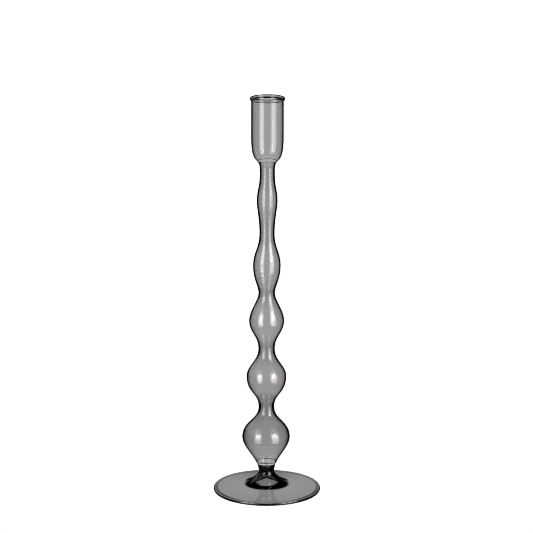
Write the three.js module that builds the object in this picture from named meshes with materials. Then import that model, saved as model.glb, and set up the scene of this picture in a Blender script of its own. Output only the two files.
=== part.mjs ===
// A hand-drawn glass candlestick: a candle socket with a wrapped lip, on a hollow stem of five
// knops that grow towards a trumpet foot. Every piece is turned about one upright axis.
//
// Units are millimetres and +Z is up. The origin is the centre of the foot, on the table.

import * as THREE from "three";

// ---------------------------------------------------------------------------------------------
// Driving dimensions
// ---------------------------------------------------------------------------------------------

// How finely the turned pieces are cut.
const FACETS = 32; // flats round the axis
const CURVE_STEPS = 6; // straight steps along one side of a knop
const TRUMPET_STEPS = 8;
const BEAD_STEPS = 3; // straight steps along a quarter of a bead
const TOUCHING = 1e-6; // points closer than this are one point
const SLIVER = 0.2; // a point closer than this to a cut is left out

// Foot: a thin disc that climbs from a thick rim to a trumpet with a hollow under it.
const FOOT_DIAMETER = 85.5;
const RIM_THICKNESS = 2.9;
const DISC_THICKNESS = 1.8;
const DISC_RISE = 2.3; // climb of the disc's top, from the rim to the trumpet
const STANDING_RING_WIDTH = 1.2; // the flat band that the foot stands on
const TRUMPET_DIAMETER = 40; // where the disc turns up into the trumpet
const CONE_DIAMETER = 21.2; // mouth of the cone that is hollowed up into the trumpet
const CONE_MOUTH_DROP = 0.35; // the cone's mouth, below the disc's top at the trumpet
const HOLLOW_TOP_DIAMETER = 6.8;
const HOLLOW_HEIGHT = 14.2; // top of the hollow, above the table

// Neck: the glass that seals the foot to the stem, solid below and hollow at its top.
const NECK_HEIGHT = 16; // the narrowest place, above the table
const NECK_DIAMETER = 12.2;
const SEAL_LENGTH = 9.8; // from the hollow of the foot up to the seam with the stem
const SEAL_SOLID = 4.8; // solid glass between the two hollows

// Stem: each station is a crest or a waist, and lies a rise above the station below it.
// pull is how far the curve holds its vertical run below and above the station, as a share of
// the rise on that side.
const STEM_STATIONS = [
  { rise: 0.0, diameter: NECK_DIAMETER, wall: 1.1, pull: [0.35, 0.35] },
  { rise: 28.5, diameter: 38.3, wall: 1.4, pull: [0.3, 0.48] },
  { rise: 25.0, diameter: 12.3, wall: 1.8, pull: [0.45, 0.45] },
  { rise: 25.5, diameter: 31.8, wall: 1.05, pull: [0.55, 0.35] },
  { rise: 22.5, diameter: 12.9, wall: 1.5, pull: [0.45, 0.45] },
  { rise: 23.0, diameter: 27.8, wall: 1.0, pull: [0.4, 0.35] },
  { rise: 22.5, diameter: 12.9, wall: 1.4, pull: [0.25, 0.25] },
  { rise: 22.5, diameter: 21.8, wall: 1.0, pull: [0.5, 0.4] },
  { rise: 26.0, diameter: 11.8, wall: 1.35, pull: [0.45, 0.45] },
  { rise: 25.5, diameter: 16.3, wall: 1.1, pull: [0.2, 0.45] },
  { rise: 22.0, diameter: 11.8, wall: 1.3, pull: [0.5, 0] },
];
const STEM_TOP_STRAIGHT = 3; // plain tube above the last waist

// Collar: the flare from the stem into the socket's bowl, where the two are fused.
const COLLAR_RISE = 7.9;
const COLLAR_DIAMETER = 16.8;
const COLLAR_WALL = 1;

// Candle socket, for a standard dinner candle, which stands where the bowl narrows.
const CANDLE_DIAMETER = 22;
const CANDLE_CLEARANCE = 0.7; // all round
const SOCKET_WALL = 1;
const BOWL_RISE = 16.1; // from the collar to the socket's straight wall
const SOCKET_STRAIGHT = 31.3;

// Lip: a bead wrapped round the mouth of the socket.
const LIP_HEIGHT = 2.9;
const LIP_OVERHANG = 1.1; // beyond the socket's outer wall

// Free curves. Each has two pulls, given as shares of the width and of the height that the curve
// spans from its start to its end.
const TRUMPET_PULLS = [[0.43, 0.07], [1, 0.7]]; // from the disc up to the neck
const CONE_PULLS = [[0.05, 0.27], [0.92, 0.46]]; // from the cone's mouth up to the hollow's top
const SEAL_PULLS = [[0.04, 0.62], [0.2, 1]]; // from the seam down to the bottom of the stem's hollow
const COLLAR_PULLS = [[0, 0.65], [0.45, 0.82]];
const BOWL_PULLS = [[0.87, 0.21], [0.9, 0.56]];

const GLASS_COLOUR = 0x8f8b88;

// ---------------------------------------------------------------------------------------------
// Heights and radii that follow from them
// ---------------------------------------------------------------------------------------------

const footRadius = FOOT_DIAMETER / 2;
const rimRadius = RIM_THICKNESS / 2;
const trumpetRadius = TRUMPET_DIAMETER / 2;
const trumpetHeight = RIM_THICKNESS + DISC_RISE;
const neckRadius = NECK_DIAMETER / 2;
const hollowTopRadius = HOLLOW_TOP_DIAMETER / 2;
const coneRadius = CONE_DIAMETER / 2;
const coneMouthHeight = trumpetHeight - CONE_MOUTH_DROP;
const sealCore = HOLLOW_HEIGHT + SEAL_SOLID;
const sealTop = HOLLOW_HEIGHT + SEAL_LENGTH;

const stemTop = STEM_STATIONS.reduce((height, station) => height + station.rise, NECK_HEIGHT);
const stemTopRadius = STEM_STATIONS.at(-1).diameter / 2;
const collarHeight = stemTop + STEM_TOP_STRAIGHT + COLLAR_RISE;
const collarRadius = COLLAR_DIAMETER / 2;

const boreRadius = CANDLE_DIAMETER / 2 + CANDLE_CLEARANCE;
const socketRadius = boreRadius + SOCKET_WALL;
const bowlTop = collarHeight + BOWL_RISE;
const socketTop = bowlTop + SOCKET_STRAIGHT;

// ---------------------------------------------------------------------------------------------
// Lines in the turning plane: x is the radius, y is the height
// ---------------------------------------------------------------------------------------------

const at = (radius, height) => new THREE.Vector2(radius, height);

/** Points of a curve between two ends, led by its two pulls. */
function cubic(start, startPull, endPull, end, steps = CURVE_STEPS) {
  return new THREE.CubicBezierCurve(start, startPull, endPull, end).getPoints(steps);
}

/** A free curve whose pulls are shares of the width and height between its ends. */
function sweep(start, end, pulls, steps = CURVE_STEPS) {
  const { lerp } = THREE.MathUtils;
  const [first, last] = pulls.map(([across, up]) =>
    at(lerp(start.x, end.x, across), lerp(start.y, end.y, up)),
  );
  return cubic(start, first, last, end, steps);
}

/** A quarter of an ellipse about a centre, from one angle in degrees to another. */
function quarter(centre, halfWidth, halfHeight, fromDegrees, toDegrees) {
  const points = [];
  for (let i = 0; i <= BEAD_STEPS; i++) {
    const degrees = fromDegrees + ((toDegrees - fromDegrees) * i) / BEAD_STEPS;
    const angle = THREE.MathUtils.degToRad(degrees);
    const x = centre.x + halfWidth * Math.cos(angle);
    points.push(at(x, centre.y + halfHeight * Math.sin(angle)));
  }
  return points;
}

/** Joins lines end to end and drops a point that repeats the one before it. */
function join(...lines) {
  const same = (a, b) => a.distanceTo(b) < TOUCHING;
  return lines.flat().filter((point, i, all) => i === 0 || !same(point, all[i - 1]));
}

/** The point at a height on a line that rises all the way. */
function pointAt(line, height) {
  const i = line.findIndex((point) => point.y >= height - TOUCHING);
  const above = line[i];
  const below = line[Math.max(i - 1, 0)];
  const share = above.y > below.y ? (height - below.y) / (above.y - below.y) : 0;
  return at(THREE.MathUtils.lerp(below.x, above.x, share), height);
}

/** The stretch of a rising line between two heights. */
function stretch(line, low, high) {
  const inside = line.filter((point) => point.y > low + SLIVER && point.y < high - SLIVER);
  return [pointAt(line, low), ...inside, pointAt(line, high)];
}

/** The rising line through the stem's crests and waists, set in by a share of the wall. */
function stemLine(wallShare) {
  const line = [];
  let height = NECK_HEIGHT;
  STEM_STATIONS.forEach((station, i) => {
    const here = at(station.diameter / 2 - wallShare * station.wall, height + station.rise);
    if (i > 0) {
      const below = STEM_STATIONS[i - 1];
      const start = at(below.diameter / 2 - wallShare * below.wall, height);
      const startPull = at(start.x, height + below.pull[1] * station.rise);
      const endPull = at(here.x, here.y - station.pull[0] * station.rise);
      line.push(cubic(start, startPull, endPull, here));
    }
    height = here.y;
  });
  return join(...line);
}

/** The flare that carries a tube of one radius out to the collar. */
function collarLine(tubeRadius, flaredRadius) {
  const start = at(tubeRadius, stemTop + STEM_TOP_STRAIGHT);
  return sweep(start, at(flaredRadius, collarHeight), COLLAR_PULLS);
}

// The outside of the glass, from the rim of the foot up to the lip.
const discTop = [at(footRadius - rimRadius, RIM_THICKNESS), at(trumpetRadius, trumpetHeight)];
const trumpetTop = sweep(
  at(trumpetRadius, trumpetHeight),
  at(neckRadius, NECK_HEIGHT),
  TRUMPET_PULLS,
  TRUMPET_STEPS,
);
const bowlOutside = sweep(
  at(collarRadius, collarHeight),
  at(socketRadius, bowlTop),
  BOWL_PULLS,
);
const outside = join(
  discTop,
  trumpetTop,
  stemLine(0),
  collarLine(stemTopRadius, collarRadius),
  bowlOutside,
  [at(socketRadius, socketTop)],
);

// The insides: the hollow under the foot, the stem's bore and the candle's bowl.
const ringInner = footRadius - rimRadius - STANDING_RING_WIDTH / 2;
const ringOuter = footRadius - rimRadius + STANDING_RING_WIDTH / 2;
const discBottomRadius = ringInner - rimRadius;
const discBottomHeight = RIM_THICKNESS - DISC_THICKNESS;
const hollowMouth = at(trumpetRadius, trumpetHeight - DISC_THICKNESS);
const hollow = join(
  [hollowMouth],
  sweep(
    at(coneRadius, coneMouthHeight),
    at(hollowTopRadius, HOLLOW_HEIGHT),
    CONE_PULLS,
  ),
);
const stemBoreRadius = stemTopRadius - STEM_STATIONS.at(-1).wall;
const bowlMouthRadius = collarRadius - COLLAR_WALL;
const bore = join(stemLine(1), collarLine(stemBoreRadius, bowlMouthRadius));
const sealMouth = pointAt(bore, sealTop);
const sealHollow = sweep(sealMouth, at(0, sealCore), SEAL_PULLS);
const bowlInside = sweep(
  at(bowlMouthRadius, collarHeight),
  at(boreRadius, bowlTop),
  BOWL_PULLS,
);

// ---------------------------------------------------------------------------------------------
// Pieces
// ---------------------------------------------------------------------------------------------

const glass = new THREE.MeshStandardMaterial({
  color: GLASS_COLOUR,
  roughness: 0.03,
  metalness: 0,
  transparent: true,
  opacity: 0.4,
});

/** Turns a section about the upright axis. The section runs up the outside and down the inside. */
function turned(name, section) {
  const geometry = new THREE.LatheGeometry(section, FACETS);
  geometry.rotateX(Math.PI / 2);
  const mesh = new THREE.Mesh(geometry, glass);
  mesh.name = name;
  return mesh;
}

/** A tube between two heights, with its own outside and inside lines. */
function tube(name, outerLine, innerLine) {
  return turned(name, join(outerLine, innerLine.toReversed(), [outerLine[0]]));
}

function foot() {
  const section = join(
    [at(ringInner, 0)],
    quarter(at(ringOuter, rimRadius), footRadius - ringOuter, rimRadius, -90, 0),
    quarter(at(footRadius - rimRadius, rimRadius), rimRadius, rimRadius, 0, 90),
    stretch(outside, RIM_THICKNESS, HOLLOW_HEIGHT),
    hollow.toReversed(),
    [at(discBottomRadius, discBottomHeight), at(ringInner, 0)],
  );
  return turned("foot", section);
}

function stemSeal() {
  const outer = stretch(outside, HOLLOW_HEIGHT, sealTop);
  return turned("stem_seal", join([at(0, HOLLOW_HEIGHT)], outer, sealHollow));
}

function knoppedStem() {
  const outer = stretch(outside, sealTop, collarHeight);
  return tube("knopped_stem", outer, stretch(bore, sealTop, collarHeight));
}

function candleSocket() {
  const inner = join(bowlInside, [at(boreRadius, socketTop)]);
  return tube("candle_socket", stretch(outside, collarHeight, socketTop), inner);
}

function socketLip() {
  const half = LIP_HEIGHT / 2;
  const middle = socketTop + half;
  const ridge = (boreRadius + socketRadius + LIP_OVERHANG) / 2;
  const section = join(
    [at(boreRadius, socketTop)],
    quarter(at(socketRadius, middle), LIP_OVERHANG, half, -90, 0),
    quarter(at(ridge, middle), socketRadius + LIP_OVERHANG - ridge, half, 0, 90),
    quarter(at(ridge, middle), ridge - boreRadius, half, 90, 180),
    [at(boreRadius, socketTop)],
  );
  return turned("socket_lip", section);
}

const candlestick = new THREE.Group();
candlestick.add(foot());
candlestick.add(stemSeal());
candlestick.add(knoppedStem());
candlestick.add(candleSocket());
candlestick.add(socketLip());

export default candlestick;
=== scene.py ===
"""Looks for the glass candlestick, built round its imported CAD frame.

Every piece is turned again from the outline of its CAD node, with fine round sections and the
slight drift of a hand-drawn stem. All of it is one smoke-grey glass, and each way of working the
glass leaves its own marks in the surface.
"""

import math

import bpy
import numpy as np
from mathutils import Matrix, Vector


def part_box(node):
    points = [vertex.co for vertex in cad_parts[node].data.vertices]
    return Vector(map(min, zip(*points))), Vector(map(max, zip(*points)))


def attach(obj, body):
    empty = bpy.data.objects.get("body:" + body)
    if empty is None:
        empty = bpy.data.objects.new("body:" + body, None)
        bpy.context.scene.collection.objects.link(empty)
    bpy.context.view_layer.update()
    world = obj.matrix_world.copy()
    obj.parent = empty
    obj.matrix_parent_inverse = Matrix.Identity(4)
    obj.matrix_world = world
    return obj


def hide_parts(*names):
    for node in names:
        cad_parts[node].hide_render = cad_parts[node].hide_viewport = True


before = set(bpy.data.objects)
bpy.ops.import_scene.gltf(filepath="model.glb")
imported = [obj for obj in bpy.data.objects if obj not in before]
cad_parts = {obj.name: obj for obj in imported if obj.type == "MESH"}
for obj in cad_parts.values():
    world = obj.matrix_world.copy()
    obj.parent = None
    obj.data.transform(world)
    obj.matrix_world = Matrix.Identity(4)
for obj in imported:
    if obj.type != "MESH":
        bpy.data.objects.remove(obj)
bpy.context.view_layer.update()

bl_info = {
    "name": "Glass Candlestick",
    "version": (1, 0, 0),
    "blender": (4, 5, 0),
    "location": "3D View > Sidebar > Candlestick",
    "description": "Turns a knopped glass candlestick round its CAD frame",
    "category": "Add Mesh",
}

MM = 0.001
BODY = "root"

# The pieces, from the table up: the CAD node that each one stands for, and how it was worked.
PIECES = {
    "foot_glass": ("foot", "spun glass"),
    "stem_seal_glass": ("stem_seal", "gathered glass"),
    "knopped_stem_glass": ("knopped_stem", "drawn glass"),
    "candle_socket_glass": ("candle_socket", "drawn glass"),
    "socket_lip_glass": ("socket_lip", "wrapped glass"),
}

# Marks that the working leaves: how many fall round the axis and how many per metre along it (or
# outwards, where a piece was spun), and how deep they are in millimetres.
MARKS = {
    "spun glass": (1.2, 260, 0.006),
    "gathered glass": (2.0, 90, 0.004),
    "drawn glass": (4.0, 10, 0.006),
    "wrapped glass": (3.0, 50, 0.004),
}

# The azimuths straight behind the candlestick in the four views that it was lit for: 0 is behind
# it from the front, and they grow to the right. The table top's light and the soft skies come
# only from these, so from any other side the foot and the solid glass go nearly black.
VIEWED_FROM = (0, -45, -90, 135)

# How far the turning axis strays to the right at each height, both in millimetres.
AXIS_DRIFT = (
    (0, 0.0),
    (15, -0.45),
    (45, -0.9),
    (70, -0.35),
    (95, -0.5),
    (118, -0.32),
    (163, -0.25),
    (210, 0.0),
    (262, 0.25),
    (320, 0.35),
)
DRIFT_WINDOW = 12  # millimetres over which the drift is evened out

# Two points of the CAD mesh closer than this are one point, in metres.
TOUCHING = 1e-6
TOUCHING_DIGITS = 6

# The longest step along a curved run, and how often its steps are evened out.
LONGEST_STEP = 1.2 * MM
EVENING_PASSES = 6

# How the sections leave the round: waves round the axis, and how fast each one turns with height
# (radians per metre). The whole swells and fades with height too.
OVAL_WAVES = ((2, 59.375, 1.0), (3, -34.375, 0.5))
OVAL_SWELL = 37
OVAL_START = 0.6

# How much the ripples and the seeds count against the draw lines, and how big a seed is as a
# share of the room that it has.
RIPPLE_SHARE = 1.5
SEED_SHARE = 0.6
SEED_SIZE = (0.02, 0.06)
WORN_ROUGHNESS = 0.35

# The studio, in degrees of azimuth and elevation: low end, high end and softness of an edge.
BACKDROP_HEIGHTS = (-40, 24, 12)
TABLE_EDGE = (-10, 0)
TABLE_STRENGTH = 0.8
TABLE_HALF_WIDTH = 8
TABLE_SOFTNESS = 10
LEFT_BOX = ((-154, -124, 16), (-25, 30, 14))
RIGHT_BOX = ((115, 150, 18), (-25, 34, 14))
BOX_RISE = (-12, 20)  # the softboxes get brighter between these elevations
BOX_LOW_SHARE = 0.5  # brightness of their lower ends
SKY_HEIGHTS = (6, 34, 10)
SKY_HALF_WIDTH = 14
SKY_SOFTNESS = 8
SKY_STRENGTH = 0.7
TABLE_BELOW = (-60, -30)  # a reflection steeper than this sees the table top
TABLE_BELOW_STRENGTH = 0.8
DARK_ROOM = 0.012


# ---------------------------------------------------------------------------------------------
# Settings
# ---------------------------------------------------------------------------------------------


class CandlestickForm(bpy.types.PropertyGroup):
    """How finely and how freely the glass is turned."""

    facets: bpy.props.IntProperty(
        name="Facets", description="Steps round the axis", default=144, min=24
    )
    steps: bpy.props.IntProperty(
        name="Steps", description="Steps along each straight run of the CAD outline", default=8
    )
    corner: bpy.props.FloatProperty(
        name="Corner",
        description="A sharper turn than this stays a corner",
        default=math.radians(30),
        subtype="ANGLE",
    )
    joint_gap: bpy.props.FloatProperty(
        name="Joint gap",
        description="Space left between two pieces of glass where they are fused",
        default=0.02 * MM,
        subtype="DISTANCE",
        unit="LENGTH",
    )
    oval: bpy.props.FloatProperty(
        name="Ovality", description="Share by which a section is out of round", default=0.004
    )


class CandlestickGlass(bpy.types.PropertyGroup):
    """The smoke-grey glass."""

    tint: bpy.props.FloatVectorProperty(
        name="Tint",
        description="Colour that the glass lets through",
        default=(0.370, 0.350, 0.340),
        subtype="COLOR",
        min=0,
        max=1,
    )
    depth: bpy.props.FloatProperty(
        name="Depth of tint", description="How fast the glass darkens, per metre", default=580
    )
    ior: bpy.props.FloatProperty(
        name="Refractive index", description="Bend of light in the glass", default=1.47
    )
    marks: bpy.props.FloatProperty(
        name="Working marks", description="Factor on the depth of the marks", default=1
    )
    ripples: bpy.props.FloatProperty(
        name="Ripples", description="Slow ripples in the glass, per metre", default=45
    )
    seeds: bpy.props.FloatProperty(
        name="Seeds", description="Small bubbles in the glass, per metre", default=120
    )
    wear: bpy.props.FloatProperty(
        name="Wear",
        description="Height to which the standing ring is worn matt",
        default=0.12 * MM,
        subtype="DISTANCE",
        unit="LENGTH",
    )


class CandlestickStage(bpy.types.PropertyGroup):
    """Camera, floor and studio light."""

    lens: bpy.props.FloatProperty(
        name="Lens", description="Focal length in millimetres", default=168.9
    )
    distance: bpy.props.FloatProperty(
        name="Distance",
        description="From the camera to the point it looks at",
        default=1.975,
        subtype="DISTANCE",
        unit="LENGTH",
    )
    pitch: bpy.props.FloatProperty(
        name="Pitch",
        description="How far the camera looks down",
        default=math.radians(13.4),
        subtype="ANGLE",
    )
    target: bpy.props.FloatVectorProperty(
        name="Target",
        description="Point that the camera looks at",
        default=(-0.0004, 0, 0.1847),
        subtype="TRANSLATION",
        unit="LENGTH",
    )
    left_box: bpy.props.FloatProperty(
        name="Left softbox", description="Brightness of the left light", default=11
    )
    right_box: bpy.props.FloatProperty(
        name="Right softbox", description="Brightness of the right light", default=13
    )


# ---------------------------------------------------------------------------------------------
# Outlines, as arrays of (radius, height) in metres
# ---------------------------------------------------------------------------------------------


def meridian(node):
    """The outline of a turned CAD node, anticlockwise: up its outside, down its inside."""
    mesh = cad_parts[node].data
    digits = TOUCHING_DIGITS
    spots = [(round(v.co.x, digits), round(v.co.z, digits)) for v in mesh.vertices]
    in_plane = [abs(v.co.y) < TOUCHING and v.co.x > -TOUCHING for v in mesh.vertices]
    links = {}
    for edge in mesh.edges:
        a, b = edge.vertices
        if in_plane[a] and in_plane[b] and spots[a] != spots[b]:
            links.setdefault(spots[a], set()).add(spots[b])
            links.setdefault(spots[b], set()).add(spots[a])
    ends = sorted((s for s in links if len(links[s]) == 1), key=lambda s: s[1])
    if ends and any(radius > TOUCHING for radius, _ in ends):
        raise RuntimeError(f"the outline of {node} is open away from the axis: {ends}")
    start = ends[0] if ends else min(links, key=lambda s: (s[1], s[0]))
    line = [start]
    heading = max(links[start])
    while heading != start:
        line.append(heading)
        onward = links[heading] - {line[-2]}
        if not onward:
            break
        heading = onward.pop()
    line = np.array(line)
    radius, height = line.T
    area = np.sum(radius * np.roll(height, -1) - np.roll(radius, -1) * height)
    return line if area > 0 else line[::-1], not ends


def turn_at(before, here, after):
    """How sharply a line turns at a point, in radians."""
    a, b = here - before, after - here
    return abs(math.atan2(a[0] * b[1] - a[1] * b[0], a @ b))


def smooth_run(points, steps):
    """A fine, even curve through the points of one run between two corners."""
    if len(points) == 2:
        share = np.linspace(0, 1, steps + 1)[:, None]
        return points[0] * (1 - share) + points[1] * share
    chords = np.diff(points, axis=0)
    lengths = np.linalg.norm(chords, axis=1)
    slopes = np.empty_like(points)
    slopes[1:-1] = (points[2:] - points[:-2]) / (lengths[1:] + lengths[:-1])[:, None]
    slopes[0] = 2 * chords[0] / lengths[0] - slopes[1]
    slopes[-1] = 2 * chords[-1] / lengths[-1] - slopes[-2]
    fine = []
    for i, length in enumerate(lengths):
        count = max(steps, math.ceil(length / LONGEST_STEP))
        t = np.linspace(0, 1, count, endpoint=False)[:, None]
        fine.append(
            (2 * t**3 - 3 * t**2 + 1) * points[i]
            + (t**3 - 2 * t**2 + t) * length * slopes[i]
            + (3 * t**2 - 2 * t**3) * points[i + 1]
            + (t**3 - t**2) * length * slopes[i + 1]
        )
    fine = np.vstack([*fine, points[-1:]])
    for _ in range(EVENING_PASSES):
        fine[1:-1] = (fine[:-2] + 2 * fine[1:-1] + fine[2:]) / 4
    return fine


def fine_outline(node, form):
    """The smooth outline of a piece, and whether it closes on itself."""
    line, closed = meridian(node)
    count = len(line)
    inner = range(count) if closed else range(1, count - 1)
    corners = [
        i for i in inner if turn_at(line[i - 1], line[i], line[(i + 1) % count]) > form.corner
    ]
    if closed:
        line = np.roll(line, -corners[0], axis=0)
        corners = [corner - corners[0] for corner in corners] + [count]
        line = np.vstack([line, line[:1]])
    else:
        corners = [0, *corners, count - 1]
    outline = [
        smooth_run(line[a : b + 1], form.steps)[:-1] for a, b in zip(corners[:-1], corners[1:])
    ]
    if not closed:
        outline.append(line[-1:])
    return np.vstack(outline), closed


# ---------------------------------------------------------------------------------------------
# Turned glass
# ---------------------------------------------------------------------------------------------


def drift(height):
    """How far the axis strays at a height, as one smooth line."""
    heights, strays = np.array(AXIS_DRIFT, float).T * MM
    taps = np.linspace(-DRIFT_WINDOW, DRIFT_WINDOW, 9) * MM
    return np.mean([np.interp(height + tap, heights, strays) for tap in taps], axis=0)


def out_of_round(height, angle, share):
    """The factor on the radius that makes a section slightly oval, changing with height."""
    wave = sum(
        part * np.cos(lobes * angle + twist * height) for lobes, twist, part in OVAL_WAVES
    )
    return 1 + share * wave * np.sin(OVAL_SWELL * height + OVAL_START)


def turned_mesh(name, outline, closed, form):
    """A closed mesh turned from an outline that closes on itself or ends on the axis."""
    angles = np.linspace(0, 2 * math.pi, form.facets, endpoint=False)
    vertices, rings = [], []
    for radius, height in outline:
        shift = float(drift(height))
        if radius < TOUCHING:
            rings.append([len(vertices)] * form.facets)
            vertices.append((shift, 0, height))
            continue
        start = len(vertices)
        reach = radius * out_of_round(height, angles, form.oval)
        vertices += [
            (shift + r * math.cos(a), r * math.sin(a), height) for r, a in zip(reach, angles)
        ]
        rings.append(list(range(start, start + form.facets)))
    faces = []
    last = len(rings) if closed else len(rings) - 1
    for i in range(last):
        low, high = rings[i], rings[(i + 1) % len(rings)]
        for j in range(form.facets):
            k = (j + 1) % form.facets
            corners = [low[j], low[k], high[k], high[j]]
            faces.append(list(dict.fromkeys(corners)))
    mesh = bpy.data.meshes.new(name)
    mesh.from_pydata(vertices, [], faces)
    mesh.validate()
    mesh.shade_smooth()
    return mesh


def turn_piece(name, context):
    """Makes one piece of glass from its CAD node's outline and puts it in the frame."""
    form = context.scene.candlestick_form
    node, working = PIECES[name]
    outline, closed = fine_outline(node, form)
    outline = set_back(outline, node, form)
    mesh = turned_mesh(name, outline, closed, form)
    mesh.set_sharp_from_angle(angle=form.corner)
    piece = bpy.data.objects.new(name, mesh)
    context.scene.collection.objects.link(piece)
    mesh.materials.append(glass_material(working, context.scene.candlestick_glass))
    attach(piece, BODY)
    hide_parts(node)
    return piece


def set_back(outline, node, form):
    """Leaves half the joint gap at each end of a piece that meets another."""
    low, high = (corner.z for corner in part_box(node))
    outline = outline.copy()
    half = form.joint_gap / 2
    if node != "foot":
        outline[outline[:, 1] < low + TOUCHING, 1] += half
    if node != "socket_lip":
        outline[outline[:, 1] > high - TOUCHING, 1] -= half
    return outline


# ---------------------------------------------------------------------------------------------
# Materials
# ---------------------------------------------------------------------------------------------


def working_marks(maths, working, glass):
    """The normal of a surface with its marks, ripples and seeds, and its height."""
    tree = maths.tree
    round_axis, along, depth = MARKS[working]
    where = tree.nodes.new("ShaderNodeTexCoord").outputs["Object"]
    split = tree.nodes.new("ShaderNodeSeparateXYZ")
    tree.links.new(where, split.inputs[0])
    x, y, z = split.outputs
    squares = maths.op("ADD", maths.op("MULTIPLY", x, x), maths.op("MULTIPLY", y, y))
    radius = maths.op("SQRT", squares)
    safe = maths.op("MAXIMUM", radius, 0.1 * MM)
    run = radius if working == "spun glass" else z
    lines_at = tree.nodes.new("ShaderNodeCombineXYZ")
    parts = (
        maths.op("MULTIPLY", maths.op("DIVIDE", x, safe), round_axis),
        maths.op("MULTIPLY", maths.op("DIVIDE", y, safe), round_axis),
        maths.op("MULTIPLY", run, along),
    )
    for socket, value in zip(lines_at.inputs, parts):
        tree.links.new(value, socket)
    lines = maths.noise(lines_at.outputs[0], 1)
    ripples = maths.noise(where, glass.ripples)
    cells = tree.nodes.new("ShaderNodeTexVoronoi")
    cells.inputs["Scale"].default_value = glass.seeds
    tree.links.new(where, cells.inputs["Vector"])
    seeds = maths.op("SUBTRACT", 1.0, maths.ramp(cells.outputs["Distance"], *SEED_SIZE))
    ripples = maths.op("MULTIPLY", ripples, RIPPLE_SHARE)
    height = maths.total([lines, ripples, maths.op("MULTIPLY", seeds, SEED_SHARE)])
    bump = tree.nodes.new("ShaderNodeBump")
    bump.inputs["Strength"].default_value = 1
    bump.inputs["Distance"].default_value = depth * MM * glass.marks
    tree.links.new(height, bump.inputs["Height"])
    return bump.outputs["Normal"], z


def glass_material(working, glass):
    """Smoke-grey glass, tinted through its depth, with the marks that its working left."""
    material = bpy.data.materials.get(working)
    if material:
        return material
    material = bpy.data.materials.new(working)
    material.use_nodes = True
    tree = material.node_tree
    tree.nodes.clear()
    maths = NodeMath(tree)
    normal, height = working_marks(maths, working, glass)
    output = tree.nodes.new("ShaderNodeOutputMaterial")
    shader = tree.nodes.new("ShaderNodeBsdfPrincipled")
    shader.inputs["Base Color"].default_value = (1, 1, 1, 1)
    shader.inputs["Roughness"].default_value = 0
    shader.inputs["IOR"].default_value = glass.ior
    shader.inputs["Transmission Weight"].default_value = 1
    tree.links.new(normal, shader.inputs["Normal"])
    if working == "spun glass":
        worn = maths.op("SUBTRACT", 1.0, maths.ramp(height, 0.02 * MM, glass.wear))
        tree.links.new(maths.op("MULTIPLY", worn, WORN_ROUGHNESS), shader.inputs["Roughness"])
    absorb = tree.nodes.new("ShaderNodeVolumeAbsorption")
    absorb.inputs["Color"].default_value = (*glass.tint, 1)
    absorb.inputs["Density"].default_value = glass.depth
    tree.links.new(shader.outputs["BSDF"], output.inputs["Surface"])
    tree.links.new(absorb.outputs["Volume"], output.inputs["Volume"])
    return material


# ---------------------------------------------------------------------------------------------
# Stage
# ---------------------------------------------------------------------------------------------


class NodeMath:
    """Short names for the arithmetic of a node tree."""

    def __init__(self, tree):
        self.tree = tree

    def op(self, operation, *values):
        node = self.tree.nodes.new("ShaderNodeMath")
        node.operation = operation
        for socket, value in zip(node.inputs, values):
            if isinstance(value, (int, float)):
                socket.default_value = value
            else:
                self.tree.links.new(value, socket)
        return node.outputs[0]

    def total(self, values):
        """The sum of a list of values."""
        total = values[0]
        for value in values[1:]:
            total = self.op("ADD", total, value)
        return total

    def noise(self, vector, scale):
        """Soft noise between 0 and 1."""
        node = self.tree.nodes.new("ShaderNodeTexNoise")
        node.inputs["Scale"].default_value = scale
        node.inputs["Detail"].default_value = 0
        self.tree.links.new(vector, node.inputs["Vector"])
        return node.outputs["Fac"]

    def ramp(self, value, start, end):
        """0 before start, 1 after end, and smooth between them."""
        node = self.tree.nodes.new("ShaderNodeMapRange")
        node.interpolation_type = "SMOOTHSTEP"
        self.tree.links.new(value, node.inputs["Value"])
        node.inputs["From Min"].default_value = start
        node.inputs["From Max"].default_value = end
        return node.outputs["Result"]

    def band(self, value, low, high, soft):
        """1 between two values and 0 outside them, with soft edges."""
        rise = self.ramp(value, low - soft / 2, low + soft / 2)
        fall = self.ramp(value, high - soft / 2, high + soft / 2)
        return self.op("MULTIPLY", rise, self.op("SUBTRACT", 1.0, fall))


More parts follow.
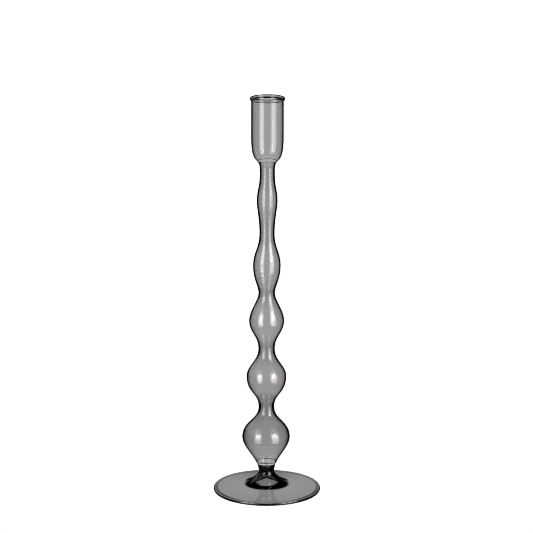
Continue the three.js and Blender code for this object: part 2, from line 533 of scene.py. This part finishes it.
def studio_world(stage):
    """A dark room with a white backdrop and table top, two softboxes and some soft sky.

    It is not a room that could be built: what a ray meets depends on how often it has gone
    through glass and whether it has been reflected, and that draws the black edges.
    """
    world = bpy.data.worlds.new("studio")
    bpy.context.scene.world = world
    world.use_nodes = True
    tree = world.node_tree
    tree.nodes.clear()
    maths = NodeMath(tree)
    where = tree.nodes.new("ShaderNodeTexCoord")
    split = tree.nodes.new("ShaderNodeSeparateXYZ")
    tree.links.new(where.outputs["Generated"], split.inputs[0])
    x, y, z = split.outputs
    degrees = 180 / math.pi
    # Azimuth is 0 straight behind the object, seen from the front, and grows to the right.
    azimuth = maths.op("MULTIPLY", maths.op("ARCTAN2", x, y), degrees)
    elevation = maths.op("MULTIPLY", maths.op("ARCSINE", z), degrees)

    path = tree.nodes.new("ShaderNodeLightPath")
    # Light that crossed two walls without a reflection comes from the backdrop. Light that turned
    # inside a wall comes from the dark sides of the room, which draws each edge as a black line.
    reflected = maths.op("GREATER_THAN", path.outputs["Glossy Depth"], 0.5)
    straight = maths.op("SUBTRACT", 1.0, reflected)
    two_walls = maths.op("GREATER_THAN", path.outputs["Transmission Depth"], 3.5)
    through = maths.op("MULTIPLY", straight, two_walls)

    def softbox(azimuths, elevations, strength):
        shape = maths.op(
            "MULTIPLY",
            maths.band(azimuth, *azimuths),
            maths.band(elevation, *elevations),
        )
        return maths.op("MULTIPLY", shape, strength)

    backdrop = maths.op("MULTIPLY", through, maths.band(elevation, *BACKDROP_HEIGHTS))
    below = maths.op("SUBTRACT", 1.0, maths.ramp(elevation, *TABLE_EDGE))
    half = TABLE_HALF_WIDTH
    ahead = [maths.band(azimuth, az - half, az + half, TABLE_SOFTNESS) for az in VIEWED_FROM]
    table = maths.op("MULTIPLY", straight, maths.op("MULTIPLY", below, TABLE_STRENGTH))
    table = maths.op("MULTIPLY", table, maths.total(ahead))
    steep = maths.op("SUBTRACT", 1.0, maths.ramp(elevation, *TABLE_BELOW))
    left = softbox(*LEFT_BOX, stage.left_box)
    right = softbox(*RIGHT_BOX, stage.right_box)
    rise = maths.op("MULTIPLY", 1 - BOX_LOW_SHARE, maths.ramp(elevation, *BOX_RISE))
    brighter_above = maths.op("ADD", BOX_LOW_SHARE, rise)
    boxes = maths.op("MULTIPLY", maths.op("ADD", left, right), brighter_above)
    half = SKY_HALF_WIDTH
    skies = [
        softbox((az - half, az + half, SKY_SOFTNESS), SKY_HEIGHTS, SKY_STRENGTH)
        for az in VIEWED_FROM
    ]
    boxes = maths.total([boxes, *skies, maths.op("MULTIPLY", steep, TABLE_BELOW_STRENGTH)])
    boxes = maths.op("MULTIPLY", reflected, boxes)
    seen = maths.total([maths.op("MAXIMUM", backdrop, table), boxes])
    light = tree.nodes.new("ShaderNodeBackground")
    tree.links.new(maths.op("ADD", seen, DARK_ROOM), light.inputs["Strength"])
    white = tree.nodes.new("ShaderNodeBackground")
    white.inputs["Strength"].default_value = 1.0
    white.inputs["Color"].default_value = (1, 1, 1, 1)
    choose = tree.nodes.new("ShaderNodeMixShader")
    tree.links.new(path.outputs["Is Camera Ray"], choose.inputs[0])
    tree.links.new(light.outputs[0], choose.inputs[1])
    tree.links.new(white.outputs[0], choose.inputs[2])
    output = tree.nodes.new("ShaderNodeOutputWorld")
    tree.links.new(choose.outputs[0], output.inputs["Surface"])


def pale_floor():
    """A wide white floor that glows a little, so that it runs into the backdrop."""
    mesh = bpy.data.meshes.new("floor")
    reach = 3.0
    mesh.from_pydata(
        [(-reach, -reach, 0), (reach, -reach, 0), (reach, reach, 0), (-reach, reach, 0)],
        [],
        [(0, 1, 2, 3)],
    )
    floor = bpy.data.objects.new("floor", mesh)
    bpy.context.scene.collection.objects.link(floor)
    material = bpy.data.materials.new("white_floor")
    material.use_nodes = True
    shader = material.node_tree.nodes["Principled BSDF"]
    shader.inputs["Base Color"].default_value = (0.8, 0.8, 0.8, 1)
    shader.inputs["Roughness"].default_value = 0.9
    shader.inputs["Emission Color"].default_value = (1, 1, 1, 1)
    shader.inputs["Emission Strength"].default_value = 1.0
    mesh.materials.append(material)
    floor.visible_transmission = False
    floor.visible_glossy = False


def camera(stage):
    """A long lens at eye height above the table."""
    data = bpy.data.cameras.new("camera")
    data.lens = stage.lens
    data.sensor_width = 36
    data.clip_start = 0.05
    data.clip_end = 50
    view = bpy.data.objects.new("camera", data)
    bpy.context.scene.collection.objects.link(view)
    bpy.context.scene.camera = view
    target = stage.target
    view.location = (
        target[0],
        target[1] - stage.distance * math.cos(stage.pitch),
        target[2] + stage.distance * math.sin(stage.pitch),
    )
    view.rotation_euler = (math.pi / 2 - stage.pitch, 0, 0)


# ---------------------------------------------------------------------------------------------
# Operators and panel
# ---------------------------------------------------------------------------------------------


class PieceOperator:
    """Shared by the operators that turn pieces of glass."""

    bl_options = {"REGISTER", "UNDO"}
    pieces = ()

    def execute(self, context):
        for name in self.pieces:
            turn_piece(name, context)
        return {"FINISHED"}


class CANDLESTICK_OT_foot(PieceOperator, bpy.types.Operator):
    """Turn the foot and the solid seal above it"""

    bl_idname = "candlestick.foot"
    bl_label = "Foot and seal"
    pieces = ("foot_glass", "stem_seal_glass")


class CANDLESTICK_OT_stem(PieceOperator, bpy.types.Operator):
    """Turn the hollow stem with its knops"""

    bl_idname = "candlestick.stem"
    bl_label = "Knopped stem"
    pieces = ("knopped_stem_glass",)


class CANDLESTICK_OT_socket(PieceOperator, bpy.types.Operator):
    """Turn the candle socket and the lip round its mouth"""

    bl_idname = "candlestick.socket"
    bl_label = "Candle socket"
    pieces = ("candle_socket_glass", "socket_lip_glass")


class CANDLESTICK_OT_stage(bpy.types.Operator):
    """Set up the camera, the pale floor and the studio light"""

    bl_idname = "candlestick.stage"
    bl_label = "Studio stage"
    bl_options = {"REGISTER", "UNDO"}

    def execute(self, context):
        stage = context.scene.candlestick_stage
        camera(stage)
        pale_floor()
        studio_world(stage)
        scene = context.scene
        scene.view_settings.view_transform = "Standard"
        scene.cycles.filter_width = 0.9
        scene.cycles.max_bounces = 32
        scene.cycles.transmission_bounces = 32
        scene.cycles.glossy_bounces = 12
        scene.cycles.caustics_reflective = True
        scene.cycles.caustics_refractive = True
        return {"FINISHED"}


class CANDLESTICK_PT_panel(bpy.types.Panel):
    """Everything that builds the candlestick"""

    bl_idname = "CANDLESTICK_PT_panel"
    bl_label = "Glass candlestick"
    bl_space_type = "VIEW_3D"
    bl_region_type = "UI"
    bl_category = "Candlestick"

    def draw(self, context):
        for operator in OPERATORS:
            self.layout.operator(operator.bl_idname)


OPERATORS = (
    CANDLESTICK_OT_foot,
    CANDLESTICK_OT_stem,
    CANDLESTICK_OT_socket,
    CANDLESTICK_OT_stage,
)
SETTINGS = {
    "candlestick_form": CandlestickForm,
    "candlestick_glass": CandlestickGlass,
    "candlestick_stage": CandlestickStage,
}


def register():
    for cls in (*SETTINGS.values(), *OPERATORS, CANDLESTICK_PT_panel):
        bpy.utils.register_class(cls)
    for name, settings in SETTINGS.items():
        setattr(bpy.types.Scene, name, bpy.props.PointerProperty(type=settings))


def unregister():
    for name in SETTINGS:
        delattr(bpy.types.Scene, name)
    for cls in reversed((*SETTINGS.values(), *OPERATORS, CANDLESTICK_PT_panel)):
        bpy.utils.unregister_class(cls)


def main():
    """Builds everything in order."""
    register()
    bpy.ops.candlestick.foot()
    bpy.ops.candlestick.stem()
    bpy.ops.candlestick.socket()
    bpy.ops.candlestick.stage()


if __name__ == "__main__":
    main()
